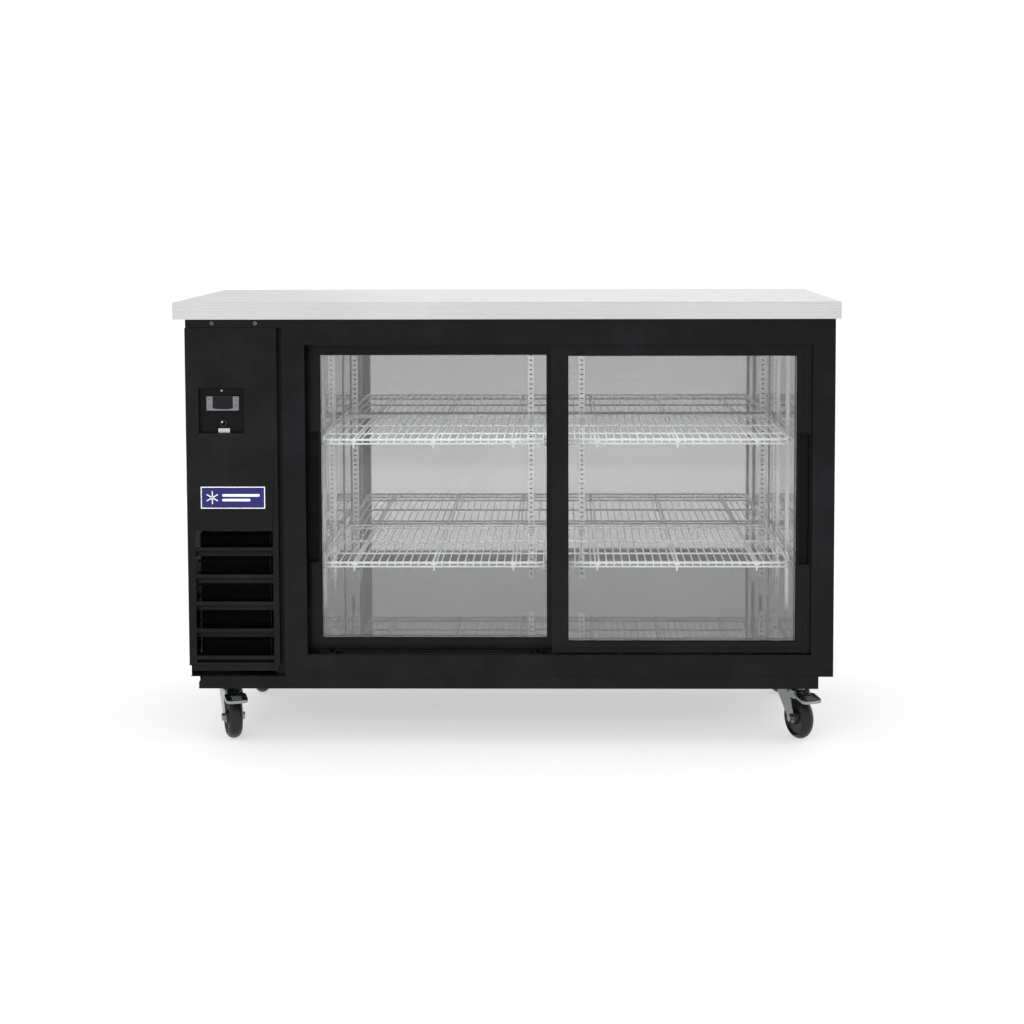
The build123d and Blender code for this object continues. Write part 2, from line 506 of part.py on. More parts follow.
def shelf_clips():
    """Small hooked brackets in the standards, just below each shelf."""
    clips = []
    reach, gap = 11.0, 0.2
    for z in SHELF_Z:
        top = z + 2 * RIM_Z - CROSS_R - gap
        for x in BACK_STANDARDS:
            y1 = CAV_Y1 - STANDARD_T
            clips.append(slab(x - 8, x + 8, y1 - 2, y1, top - 20, top)
                         + slab(x - 8, x + 8, y1 - reach - 6, y1, top - 2, top))
        for y in SIDE_STANDARDS:
            for wall, inward in ((CAV_X0, 1), (CAV_X1, -1)):
                face = wall + inward * STANDARD_T
                back = sorted((face, face + inward * 2))
                shelf = sorted((face, face + inward * reach))
                clips.append(slab(*back, y - 8, y + 8, top - 20, top)
                             + slab(*shelf, y - 8, y + 8, top - 2, top))
        for x, outward in ((POST_X0, -1), (POST_X1, 1)):
            back = sorted((x, x + outward * 2))
            shelf = sorted((x, x + outward * (reach + 6)))
            y0, y1 = CAV_Y0 + 2, POST_Y1 - 2
            front_top = z + RIM_Z - FRONT_DROP - CROSS_R - gap
            clips.append(slab(*back, y0, y1, front_top - 20, front_top)
                         + slab(*shelf, y0, y1, front_top - 2, front_top))
    return clips


# ---------------------------------------------------------------- refrigeration
def finned_coil(x0, x1, y0, y1, z0, z1, stubs):
    """A block of plate fins between two end plates, with tube stubs that the lines join."""
    core = slab(x0 + 12, x1 - 12, y0, y1, z0 + 6, z1 - 6)
    plates = slab(x0 + 10, x0 + 12, y0 - 3, y1 + 3, z0, z1) + slab(x1 - 12, x1 - 10, y0 - 3, y1 + 3, z0, z1)
    coil = core + plates
    rows = int((z1 - z0 - 30) / 28)
    for i in range(rows):
        z = z0 + 20 + i * 28
        for y in (y0 + 14, y1 - 14):
            coil += rod((x0 + 2, y, z), (x1 - 2, y, z), PIPE_R)
    for x, y, low, high in stubs:
        coil += rod((x, y, low), (x, y, high), PIPE_R)
    return coil


def compressor():
    """Hermetic compressor: domed can, base plate and line stubs, and four rubber feet."""
    x, y, r = -635.0, 60.0, 70.0
    can = Pos(x, y, 268) * Cylinder(r, 170)
    can = fillet(can.edges().filter_by(GeomType.CIRCLE), 34.0)
    body = can + slab(x - 95, x + 95, y - 62, y + 62, 177, 180) + Pos(x, y, 184) * Cylinder(50, 12)
    body += Pos(x, y + r, 300) * Box(52, 34, 60)
    for stub_x in (x - 35, x + 35):
        body += rod((stub_x, y, 330), (stub_x, y, 380), PIPE_R + 1)
    feet = []
    for dx in (-80, 80):
        for dy in (-48, 48):
            foot = rod((x + dx, y + dy, CAB_Z0 + SHEET), (x + dx, y + dy, 177), 11)
            feet.append(chamfer(foot.edges().filter_by(GeomType.CIRCLE), 2))
    return [body] + feet


def refrigerant_lines():
    out_x, in_x = CONDENSER_TAPS
    liquid_x, suction_x = RISER_X
    tap_y, riser_y = CONDENSER_TAP_Y, RISER_Y
    discharge = [(-600, 60, 380), (-600, 60, 540), (out_x, tap_y, 540), (out_x, tap_y, 510)]
    liquid = [(in_x, tap_y, 510), (in_x, tap_y, 552), (liquid_x, riser_y, 552), (liquid_x, riser_y, 610)]
    suction = [(-670, 60, 380), (-670, 60, 470), (suction_x, riser_y, 470), (suction_x, riser_y, 610)]
    return [tube(points, PIPE_R, 18) for points in (discharge, liquid, suction)]


def fan_shroud():
    y0 = COND_FAN_Y - 18
    plate = slab(-738, -542, y0, y0 + 1.5, 182, 508)
    ring = rod((FAN_X, y0, COND_FAN_Z), (FAN_X, y0 + 26, COND_FAN_Z), COND_FAN_R + 8)
    hole = rod((FAN_X, y0 - 1, COND_FAN_Z), (FAN_X, y0 + 27, COND_FAN_Z), COND_FAN_R + 6)
    return plate + ring - hole


def fan_motor(x, y, z, radius, reach):
    """A motor with a vertical strap bracket. The shaft points to -Y and carries the fan."""
    body = rod((x, y + 14, z), (x, y + 58, z), radius)
    body = fillet(body.edges().filter_by(GeomType.CIRCLE), 4.0)
    strap = slab(x - 10, x + 10, y + 34, y + 37, z - reach, z + reach)
    shaft = rod((x, y - 8, z), (x, y + 14, z), 3.0)
    return body + strap + shaft


def fan_blade(x, y, z, radius, blades):
    """A hub with pitched blades, bored to run on the motor shaft's end."""
    hub = rod((0, -9, 0), (0, 9, 0), 18)
    fan = hub
    length = radius - 14
    for i in range(blades):
        blade = Pos(14 + length / 2, 0, 0) * Rot(32, 0, 0) * Box(length, 2.0, radius * 0.42)
        fan += Rot(0, i * 360 / blades, 0) * blade
    fan &= rod((0, -20, 0), (0, 20, 0), radius)
    fan -= rod((0, -7, 0), (0, 10, 0), 3.0 + RUN_FIT)
    return Pos(x, y - 1.5, z) * fan


def condensate_pan():
    pan = slab(-735, -545, 160, 335, CAB_Z0 + SHEET, 186)
    return pan - slab(-733.4, -546.6, 161.6, 333.4, CAB_Z0 + SHEET + 1.6, 187)


def light_strip():
    strip = slab(-380, 600, POST_Y1 + 6, POST_Y1 + 30, 932, CAV_Z1)
    return fillet(strip.edges().filter_by(Axis.X).sort_by(Axis.Z)[:2], 5.0)


def inlet_gland():
    """Moulded supply gland in the back panel, closed by its blanking plug."""
    x, z = -640.0, 186.0
    flange = rod((x, CAB_Y1, z), (x, CAB_Y1 + 3, z), 13)
    return chamfer(flange.edges().sort_by(Axis.Y)[-1], 1.2)


# ---------------------------------------------------------------- casters
def caster_places():
    """(name, x, y, turn) for the four casters."""
    places = []
    for side, x, turn in zip(("left", "right"), CASTER_X, CASTER_TURN):
        for end, y in zip(("front", "rear"), CASTER_Y):
            places.append((f"{end}_{side}", x, y, turn))
    return places


def plate_bolt_places():
    dx, dy = PLATE_W / 2 - 11, PLATE_D / 2 - 10
    return [(x + sx * dx, y + sy * dy) for _, x, y, _ in caster_places()
            for sx in (-1, 1) for sy in (-1, 1)]


def at_caster(piece, x, y, turn):
    """Place a caster piece modelled with its trail along -Y and its king pin on the Z axis."""
    return Pos(x, y, 0) * Rot(0, 0, turn) * piece


def caster_plate(x, y):
    """Mounting plate with its upper race and king pin."""
    top = BASE_Z0
    plate = slab(x - PLATE_W / 2, x + PLATE_W / 2, y - PLATE_D / 2, y + PLATE_D / 2, top - PLATE_T, top)
    plate = fillet(plate.edges().filter_by(Axis.Z), 6.0)
    plate += rod((x, y, 105), (x, y, top - 1), AXLE_R) + rod((x, y, 104), (x, y, 107.6), 9.5)
    for bolt_x, bolt_y in plate_bolt_places():
        plate -= rod((bolt_x, bolt_y, top - PLATE_T - 1), (bolt_x, bolt_y, top + 1), 4.3)
    return plate


def caster_fork():
    """Crown with its race, two legs down to the axle, and the ears and pin of the brake pedal."""
    inner, leg = HUB_T / 2 + 1.0, 3.0
    crown = slab(-inner - leg, inner + leg, -34, 27, 108, 111.5)
    crown = fillet(crown.edges().filter_by(Axis.Z), 12.0)
    fork = crown + Pos(0, 0, 119.4) * Cylinder(24, 16.4)
    outline = [(27, 111.5), (27, 100), (-20, 51), (-TRAIL - 12, 42), (-TRAIL - 13, 60),
               (-34, 96), (-34, 111.5)]
    for side in (-1, 1):
        x = side * inner if side > 0 else side * (inner + leg)
        face = make_face(Polyline(*[(x, y, z) for y, z in outline], close=True))
        plate = extrude(face, amount=leg, dir=(1, 0, 0))
        plate = fillet(plate.edges().filter_by(Axis.X).sort_by(Axis.Z)[:2], 7.0)
        ear = slab(x, x + leg, -PEDAL_PIVOT - 6, -30, 100, PEDAL_PIVOT_Z + 5)
        fork += plate + ear
    fork -= rod((0, 0, 100), (0, 0, 130), AXLE_R + RUN_FIT)
    fork += rod((-inner - 1, -PEDAL_PIVOT, PEDAL_PIVOT_Z), (inner + 1, -PEDAL_PIVOT, PEDAL_PIVOT_Z), 2.5)
    axle_end = inner + leg + 4
    fork += rod((-axle_end, -TRAIL, WHEEL_R), (axle_end, -TRAIL, WHEEL_R), AXLE_R)
    for side in (-1, 1):
        low, high = sorted((side * (inner + leg), side * (inner + leg + 6)))
        fork += Pos((low + high) / 2, -TRAIL, WHEEL_R) * Rot(0, 90, 0) * extrude(
            RegularPolygon(9.5, 6), amount=(high - low) / 2, both=True)
    return fork


def caster_wheel():
    """Moulded wheel with a crowned tread and dished sides, on its axle at the trail."""
    half, hub = WHEEL_T / 2, HUB_T / 2
    shoulder = WHEEL_R - 9
    with BuildSketch(Plane.XZ) as section:
        with BuildLine():
            Polyline((shoulder, half), (37, hub - 7), (18, hub - 7), (15, hub),
                     (AXLE_R + RUN_FIT, hub), (AXLE_R + RUN_FIT, -hub), (15, -hub),
                     (18, -hub + 7), (37, -hub + 7), (shoulder, -half))
            ThreePointArc((shoulder, -half), (WHEEL_R, 0), (shoulder, half))
        make_face()
    wheel = revolve(section.sketch, Axis.Z)
    return Pos(0, -TRAIL, WHEEL_R) * Rot(0, 90, 0) * wheel


def brake_pedal():
    """Pressed foot pedal over the wheel, with a skirt all round, on the fork's cross pin."""
    neck, half, reach, skirt, wall = 15.0, 26.0, 60.0, 7.0, 2.0
    outline = [(-neck, -3), (-neck, -10), (-half, -22), (-half, -reach),
               (half, -reach), (half, -22), (neck, -10), (neck, -3)]
    cap = extrude(make_face(Polyline(*[(x, y, 3 - skirt) for x, y in outline], close=True)), amount=skirt)
    cap = fillet(cap.edges().filter_by(Axis.Z).sort_by(Axis.Y)[:2], 11.0)
    cap = fillet(cap.faces().sort_by(Axis.Z)[-1].edges().sort_by(Axis.Y)[:3], 1.5)
    inside = extrude(make_face(Polyline(*[(x * (1 - wall / half), y + wall * (y < -50) + (y > -5), 0)
                                          for x, y in outline], close=True)), amount=-skirt)
    inside = fillet(inside.edges().filter_by(Axis.Z).sort_by(Axis.Y)[:2], 9.0)
    pedal = rod((-14, 0, 0), (14, 0, 0), 5.0) + Rot(11, 0, 0) * (cap - inside)
    pedal -= rod((-16, 0, 0), (16, 0, 0), 2.5 + RUN_FIT)
    return Pos(0, -PEDAL_PIVOT, PEDAL_PIVOT_Z) * pedal


# ---------------------------------------------------------------- fasteners
def screw(x, y, z, radius, height):
    """A pan head on a surface that faces -Y."""
    head = rod((x, y - height, z), (x, y, z), radius)
    return fillet(head.edges().sort_by(Axis.Y)[0], height * 0.7)


def fasteners():
    pieces = [screw(x, CAB_Y0, 996.0, 5.0, 2.6) for x in (-685.0, -584.0)]
    pieces.append(screw(-666.0, POCKET_FLOOR_Y, 838.0, 3.2, 1.6))
    for z in louvre_heights():
        for x in RIVET_X:
            pieces.append(screw(x, COVER_Y, z, 3.0, 1.4))
    for x in BACK_STANDARDS:
        pieces.append(screw(x, CAV_Y1 - STANDARD_T, 592.0, 4.5, 2.0))
    for x, y in plate_bolt_places():
        under = BASE_Z0 - PLATE_T
        head = Pos(x, y, under - 5) * extrude(RegularPolygon(7.5, 6), amount=5)
        pieces.append(head + rod((x, y, under), (x, y, BASE_Z0 + 9), 4.0))
    return pieces


# ---------------------------------------------------------------- write the parts
save("worktop_skin", worktop())
save("outer_panels", *outer_panels())
save("foam_core", *foam_core())
save("liner_panels", *liner_panels())
save("base_plinth", base_plinth())
save("door_frame", *door_frame())
save("door_tracks", *door_tracks())
save("top_strip", top_strip())
save("front_cover", front_cover())
save("louvre_blades", *copies(louvre_blade(), [(0, 0, z) for z in louvre_heights()]))
save("badge_plate", badge_plate())
save("control_pocket", control_pocket())
save("controller_body", controller_body())
save("switch_bush", switch_bush())
save("switch_lever", switch_lever())
for key_name, (key_x, key_z) in zip(("set", "down", "defrost", "up"), key_places()):
    save(f"key_{key_name}", key_cap(key_x, key_z))

DOORS = (("left", REAR_DOOR_X0, REAR_DOOR_Y0), ("right", FRONT_DOOR_X0, FRONT_DOOR_Y0))
for side, door_x, door_y in DOORS:
    save(f"door_{side}_frame", *door_bars(door_x, door_y, side))
    save(f"door_{side}_glass", *door_glass(door_x, door_y))
    save(f"door_{side}_pull", door_pull(door_x, door_y, side))
    for number, roller_x in enumerate(roller_places(door_x), start=1):
        save(f"door_{side}_roller_{number}", roller(roller_x, door_y))

shelf = wire_shelf()
for level, shelf_z in zip(("lower", "upper"), SHELF_Z):
    for side, shelf_x in zip(("left", "right"), SHELF_X0):
        save(f"shelf_{level}_{side}", Pos(shelf_x, 0, shelf_z) * shelf)
save("shelf_standards", *shelf_standards())
save("shelf_clips", *shelf_clips())
save("light_strip", light_strip())

condenser_stubs = [(x, CONDENSER_TAP_Y, 494, 510) for x in CONDENSER_TAPS]
evaporator_stubs = [(x, RISER_Y, 610, 626) for x in RISER_X]
save("condenser_coil", finned_coil(-735, -545, -322, -262, 188, 500, condenser_stubs))
save("evaporator_coil", finned_coil(-680, -500, 70, 160, 620, 900, evaporator_stubs))
save("compressor", *compressor())
save("refrigerant_lines", *refrigerant_lines())
save("fan_shroud", fan_shroud())
save("fan_motors", fan_motor(FAN_X, COND_FAN_Y, COND_FAN_Z, 36, 125),
     fan_motor(EVAP_FAN_X, EVAP_FAN_Y, EVAP_FAN_Z, 26, 160))
save("condenser_fan", fan_blade(FAN_X, COND_FAN_Y, COND_FAN_Z, COND_FAN_R, 5))
save("evaporator_fan", fan_blade(EVAP_FAN_X, EVAP_FAN_Y, EVAP_FAN_Z, EVAP_FAN_R, 5))
save("condensate_pan", condensate_pan())
save("inlet_gland", inlet_gland())

save("caster_plates", *[caster_plate(x, y) for _, x, y, _ in caster_places()])
for name, x, y, turn in caster_places():
    save(f"caster_fork_{name}", at_caster(caster_fork(), x, y, turn))
    save(f"caster_wheel_{name}", at_caster(caster_wheel(), x, y, turn))
    save(f"brake_pedal_{name}", at_caster(brake_pedal(), x, y, turn))
save("fasteners", *fasteners())
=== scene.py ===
import json
from math import cos, pi, radians, sin

import bmesh
import bpy
from mathutils import Matrix, Vector


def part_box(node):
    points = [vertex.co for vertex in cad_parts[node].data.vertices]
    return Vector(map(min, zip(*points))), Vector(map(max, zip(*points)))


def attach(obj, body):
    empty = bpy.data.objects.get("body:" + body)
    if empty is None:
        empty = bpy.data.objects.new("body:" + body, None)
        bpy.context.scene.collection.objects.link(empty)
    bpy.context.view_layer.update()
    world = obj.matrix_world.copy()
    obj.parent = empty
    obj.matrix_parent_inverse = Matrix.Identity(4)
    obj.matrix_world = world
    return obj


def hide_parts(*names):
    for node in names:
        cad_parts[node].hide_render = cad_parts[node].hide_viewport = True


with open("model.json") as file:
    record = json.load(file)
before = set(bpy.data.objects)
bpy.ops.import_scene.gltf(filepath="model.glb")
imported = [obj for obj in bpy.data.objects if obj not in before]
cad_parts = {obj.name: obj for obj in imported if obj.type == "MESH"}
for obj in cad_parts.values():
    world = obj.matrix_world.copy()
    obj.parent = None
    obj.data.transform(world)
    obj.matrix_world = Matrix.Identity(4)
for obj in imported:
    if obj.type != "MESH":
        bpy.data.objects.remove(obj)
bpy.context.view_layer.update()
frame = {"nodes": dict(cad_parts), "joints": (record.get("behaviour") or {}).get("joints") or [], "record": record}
nodes = frame["nodes"]
joints = {joint["name"]: joint for joint in frame["joints"]}

# Metres throughout, in the row frame: +X to the viewer's right, +Y to the back, +Z up.
MM = 0.001
CORNERS = ("front_left", "front_right", "rear_left", "rear_right")
SIDES = ("left", "right")

CAMERA_PLACE = (0.1346, -4.8565, 1.26)
CAMERA_TURN = (radians(85.605), radians(0.119), radians(0.686))
CAMERA_LENS, CAMERA_SHIFT = 68.56, (-0.0283, -0.15)


# ---------------------------------------------------------------- camera, floor and lights
def make_camera():
    data = bpy.data.cameras.new("camera")
    data.lens, data.sensor_width = CAMERA_LENS, 36.0
    data.shift_x, data.shift_y = CAMERA_SHIFT
    camera = bpy.data.objects.new("camera", data)
    camera.location, camera.rotation_euler = CAMERA_PLACE, CAMERA_TURN
    bpy.context.scene.collection.objects.link(camera)
    bpy.context.scene.camera = camera


def area_light(name, place, turn, size, power, colour=(1, 1, 1)):
    data = bpy.data.lights.new(name, "AREA")
    data.shape, data.size, data.size_y = "RECTANGLE", size[0], size[1]
    data.energy, data.color = power, colour
    light = bpy.data.objects.new(name, data)
    light.location, light.rotation_euler = place, [radians(angle) for angle in turn]
    bpy.context.scene.collection.objects.link(light)
    return light


def make_world():
    """White behind the object, and a little greyer on the camera's side, as in a studio with a white cove."""
    world = bpy.data.worlds.new("studio")
    world.use_nodes = True
    tree = world.node_tree
    source = tree.nodes.new("ShaderNodeTexCoord")
    split = tree.nodes.new("ShaderNodeSeparateXYZ")
    ramp = tree.nodes.new("ShaderNodeMapRange")
    for socket, value in (("From Min", -0.9), ("From Max", 0.3), ("To Min", 0.86), ("To Max", 1.14)):
        ramp.inputs[socket].default_value = value
    background = tree.nodes["Background"]
    background.inputs["Color"].default_value = (0.99, 0.995, 1.0, 1)
    tree.links.new(source.outputs["Generated"], split.inputs["Vector"])
    tree.links.new(split.outputs["Y"], ramp.inputs["Value"])
    tree.links.new(ramp.outputs["Result"], background.inputs["Strength"])
    bpy.context.scene.world = world


def make_studio():
    """Soft boxes round the object. Those in front light it without showing in its steel or glass."""
    make_world()
    key = area_light("key_softbox", (-1.4, -4.0, 1.9), (70, 0, -21), (2.0, 1.2), 52)
    low = area_light("low_softbox", (0.1, -5.3, 0.7), (90, 0, 0), (2.4, 1.0), 18)
    fill = area_light("fill_softbox", (2.6, -3.6, 2.0), (71, 0, 38), (2.0, 2.0), 24)
    for light in (key, low, fill):
        light.visible_glossy = light.visible_transmission = False
    area_light("rear_softbox", (0.6, 3.4, 2.8), (-52, 0, 0), (3.0, 1.4), 20)
    strip_low, strip_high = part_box("light_strip")
    place = (*(((strip_low + strip_high) / 2).xy), strip_low.z - 3 * MM)
    length = strip_high.x - strip_low.x
    area_light("cabinet_lamp", place, (0, 0, 0), (length, 0.02), 1.0, (0.97, 0.985, 1.0))
    bpy.context.scene.view_settings.view_transform = "Standard"


def make_floor():
    half = 14.0
    mesh = bpy.data.meshes.new("floor")
    corners = [(-half, -half, 0), (half, -half, 0), (half, half, 0), (-half, half, 0)]
    mesh.from_pydata(corners, [], [(0, 1, 2, 3)])
    floor = bpy.data.objects.new("floor", mesh)
    bpy.context.scene.collection.objects.link(floor)
    mesh.materials.append(Surface("studio_floor", (0.48, 0.48, 0.48), 0.8, Specular_IOR_Level=0.1,
                                  Emission_Color=(1, 1, 1, 1), Emission_Strength=0.52).finish())


# ---------------------------------------------------------------- materials
class Surface:
    """A Principled material built up from noise in object coordinates, which are the row frame's."""

    def __init__(self, name, colour, roughness, metallic=0.0, **sockets):
        self.material = bpy.data.materials.new(name)
        self.material.use_nodes = True
        self.tree = self.material.node_tree
        self.shader = self.tree.nodes["Principled BSDF"]
        self.colour, self.roughness = colour, roughness
        self.put("Base Color", (*colour, 1.0))
        self.put("Roughness", roughness)
        self.put("Metallic", metallic)
        for socket, value in sockets.items():
            self.put(socket.replace("_", " "), value)
        self.normal = None

    def put(self, socket, value):
        self.shader.inputs[socket].default_value = value

    def node(self, kind, **settings):
        made = self.tree.nodes.new(kind)
        for key, value in settings.items():
            setattr(made, key, value)
        return made

    def link(self, start, end):
        self.tree.links.new(start, end)

    def coordinates(self, stretch):
        """Object coordinates, scaled along each axis."""
        source = self.node("ShaderNodeTexCoord")
        mapping = self.node("ShaderNodeMapping")
        mapping.inputs["Scale"].default_value = stretch
        self.link(source.outputs["Object"], mapping.inputs["Vector"])
        return mapping.outputs["Vector"]

    def noise(self, scale, detail=3.0, stretch=(1, 1, 1), rough=0.55):
        made = self.node("ShaderNodeTexNoise")
        made.inputs["Scale"].default_value = scale
        made.inputs["Detail"].default_value = detail
        made.inputs["Roughness"].default_value = rough
        self.link(self.coordinates(stretch), made.inputs["Vector"])
        return made.outputs["Fac"]

    def ranged(self, value, low, high, start=0.3, end=0.7):
        made = self.node("ShaderNodeMapRange")
        for socket, number in (("From Min", start), ("From Max", end), ("To Min", low), ("To Max", high)):
            made.inputs[socket].default_value = number
        self.link(value, made.inputs["Value"])
        return made.outputs["Result"]

    def vary_colour(self, value, other, start=0.35, end=0.65):
        """Blend the base colour towards another one by a 0 to 1 value."""
        mix = self.node("ShaderNodeMix", data_type="RGBA")
        mix.inputs["A"].default_value = (*self.colour, 1)
        mix.inputs["B"].default_value = (*other, 1)
        self.link(self.ranged(value, 0, 1, start, end), mix.inputs["Factor"])
        self.link(mix.outputs["Result"], self.shader.inputs["Base Color"])
        return self

    def vary_roughness(self, value, spread):
        low, high = self.roughness - spread, self.roughness + spread
        self.link(self.ranged(value, low, high), self.shader.inputs["Roughness"])
        return self

    def bump(self, value, depth):
        """Add a height in metres. Later calls stack on the earlier ones."""
        made = self.node("ShaderNodeBump")
        made.inputs["Distance"].default_value = depth
        made.inputs["Strength"].default_value = 1.0
        self.link(value, made.inputs["Height"])
        if self.normal is not None:
            self.link(self.normal, made.inputs["Normal"])
        self.normal = made.outputs["Normal"]
        self.link(self.normal, self.shader.inputs["Normal"])
        return self

    def finish(self):
        return self.material


def brushed_steel(name, colour, roughness, grain, depth=0.00004, spread=0.06, metallic=1.0, **sockets):
    """Steel with fine parallel scratches. grain is the noise scale along X, Y and Z."""
    steel = Surface(name, colour, roughness, metallic, **sockets)
    lines = steel.noise(1.0, 4.0, grain, 0.6)
    clouds = steel.noise(3.5, 3.0)
    steel.vary_colour(clouds, tuple(c * 0.93 for c in colour))
    steel.vary_roughness(lines, spread)
    return steel.bump(lines, depth).finish()


def satin_black(name, colour, roughness, peel=420.0, depth=0.00003, level=0.12):
    """Black coating with a fine orange peel and faint handling marks."""
    paint = Surface(name, colour, roughness, Specular_IOR_Level=level)
    peel_noise = paint.noise(peel, 2.0)
    smudges = paint.noise(7.0, 5.0, rough=0.7)
    lighter = tuple(c * 1.7 + 0.002 for c in colour)
    paint.vary_colour(smudges, lighter, 0.45, 0.75)
    paint.vary_roughness(smudges, 0.06)
    return paint.bump(peel_noise, depth).finish()


def moulded(name, colour, roughness, grain=900.0, depth=0.00003, **sockets):
    sockets.setdefault("Specular_IOR_Level", 0.3)
    plastic = Surface(name, colour, roughness, **sockets)
    texture = plastic.noise(grain, 2.0)
    clouds = plastic.noise(25.0, 3.0)
    plastic.vary_colour(clouds, tuple(c * 0.86 for c in colour))
    plastic.vary_roughness(clouds, 0.05)
    return plastic.bump(texture, depth).finish()


def zinc_plate(name, colour, roughness):
    """Bright zinc with a crystalline mottle."""
    zinc = Surface(name, colour, roughness, 1.0)
    cells = zinc.node("ShaderNodeTexVoronoi")
    cells.inputs["Scale"].default_value = 160.0
    zinc.link(zinc.coordinates((1, 1, 1)), cells.inputs["Vector"])
    zinc.vary_colour(cells.outputs["Distance"], tuple(c * 0.8 for c in colour), 0.1, 0.7)
    zinc.vary_roughness(zinc.noise(60.0, 4.0), 0.09)
    return zinc.bump(zinc.noise(300.0, 2.0), 0.00004).finish()


def wire_epoxy():
    epoxy = Surface("white_epoxy", (0.92, 0.93, 0.92), 0.28, Coat_Weight=0.35, Coat_Roughness=0.12)
    epoxy.vary_colour(epoxy.noise(14.0, 4.0), (0.82, 0.84, 0.83))
    return epoxy.bump(epoxy.noise(260.0, 2.0), 0.00008).finish()


def door_glass():
    glass = Surface("door_glass", (0.99, 0.995, 0.993), 0.0, Transmission_Weight=1.0, IOR=1.45)
    film = glass.noise(5.0, 5.0, rough=0.65)
    glass.link(glass.ranged(film, 0.0, 0.012, 0.45, 0.8), glass.shader.inputs["Roughness"])
    return glass.finish()


def copper_tube():
    copper = Surface("copper", (0.78, 0.42, 0.28), 0.3, 1.0)
    copper.vary_colour(copper.noise(40.0, 4.0), (0.5, 0.26, 0.16))
    return copper.vary_roughness(copper.noise(90.0, 3.0), 0.1).finish()


def lamp_diffuser():
    lamp = Surface("lamp_diffuser", (0.93, 0.95, 0.96), 0.4,
                   Emission_Color=(0.93, 0.97, 1.0, 1), Emission_Strength=2.2)
    ribs = lamp.node("ShaderNodeTexWave", bands_direction="X")
    ribs.inputs["Scale"].default_value = 90.0
    lamp.link(lamp.coordinates((1, 1, 1)), ribs.inputs["Vector"])
    lamp.vary_colour(lamp.noise(8.0, 2.0), (0.86, 0.88, 0.9))
    return lamp.bump(ribs.outputs["Fac"], 0.0003).finish()


def display_glass():
    window = Surface("display_glass", (0.003, 0.0035, 0.0045), 0.12, Specular_IOR_Level=0.2)
    window.vary_colour(window.noise(60.0, 4.0), (0.006, 0.007, 0.009))
    return window.vary_roughness(window.noise(30.0, 4.0), 0.05).finish()


def foam_block():
    foam = Surface("insulation", (0.84, 0.78, 0.55), 0.85)
    foam.vary_colour(foam.noise(60.0, 5.0), (0.72, 0.64, 0.4))
    return foam.bump(foam.noise(500.0, 3.0), 0.0005).finish()


def make_materials():
    """One material per record slot, by the slot's name, and a few for added pieces."""
    black = (0.0050, 0.0050, 0.0057)
    return {
        "worktop_steel": brushed_steel("worktop_steel", (0.57, 0.57, 0.57), 0.30, (3, 260, 900),
                                       metallic=0.55, Specular_IOR_Level=0.1,
                                       Specular_Tint=(0.7, 0.7, 0.7, 1)),
        "liner_steel": brushed_steel("liner_steel", (0.38, 0.375, 0.375), 0.022, (5, 420, 420),
                                     depth=0.000001, spread=0.008, metallic=0.9, Specular_IOR_Level=0.2),
        "standard_steel": brushed_steel("standard_steel", (0.62, 0.62, 0.62), 0.24, (900, 900, 6)),
        "clip_steel": zinc_plate("clip_steel", (0.45, 0.45, 0.46), 0.3),
        "black_panel": satin_black("black_panel", black, 0.36),
        "black_frame": satin_black("black_frame", (0.0045, 0.0045, 0.0053), 0.22, 700.0, 0.00001),
        "black_plastic": moulded("black_plastic", (0.0035, 0.0035, 0.004), 0.42, Specular_IOR_Level=0.12),
        "insulation": foam_block(),
        "badge": moulded("badge_blue", (0.011, 0.011, 0.125), 0.3, Coat_Weight=0.05),
        "badge_white": moulded("badge_white", (0.86, 0.87, 0.9), 0.3, Coat_Weight=0.4),
        "controller_plastic": moulded("controller_plastic", (0.012, 0.0125, 0.013), 0.35),
        "key_grey": moulded("key_grey", (0.17, 0.175, 0.18), 0.42),
        "switch_black": moulded("switch_black", (0.006, 0.006, 0.0065), 0.25),
        "chrome": zinc_plate("chrome", (0.88, 0.88, 0.89), 0.08),
        "white_epoxy": wire_epoxy(),
        "diffuser": lamp_diffuser(),
        "coil_fins": brushed_steel("coil_fins", (0.42, 0.43, 0.44), 0.45, (500, 60, 60)),
        "coil_black": satin_black("coil_black", (0.004, 0.004, 0.004), 0.5, 300.0),
        "compressor_black": satin_black("compressor_black", (0.008, 0.008, 0.009), 0.25, 300.0, level=0.3),
        "copper": copper_tube(),
        "galvanised": zinc_plate("galvanised", (0.55, 0.57, 0.58), 0.4),
        "zinc": zinc_plate("zinc", (0.36, 0.37, 0.38), 0.26),
        "screw_steel": zinc_plate("screw_steel", (0.20, 0.20, 0.21), 0.35),
        "wheel_black": moulded("wheel_black", (0.008, 0.008, 0.0085), 0.38, 600.0, 0.00006),
        "nylon": moulded("nylon", (0.03, 0.03, 0.03), 0.4),
        "door_glass": door_glass(),
        "fan_plastic": moulded("fan_plastic", (0.008, 0.008, 0.009), 0.4),
        "rubber": moulded("rubber", (0.005, 0.005, 0.005), 0.62, 700.0, 0.00006, Specular_IOR_Level=0.1),
        # Near-black for painted shade: the dark in the frame's mitre joints and behind the standards' slots.
        "painted_shade": moulded("seam_shadow", (0.0012, 0.0012, 0.0012), 0.6, Specular_IOR_Level=0.05),
        "sealant": moulded("sealant", (0.30, 0.295, 0.28), 0.5),
        "display": display_glass(),
        "label": moulded("label_paper", (0.56, 0.56, 0.55), 0.5),
    }


MATERIALS = make_materials()


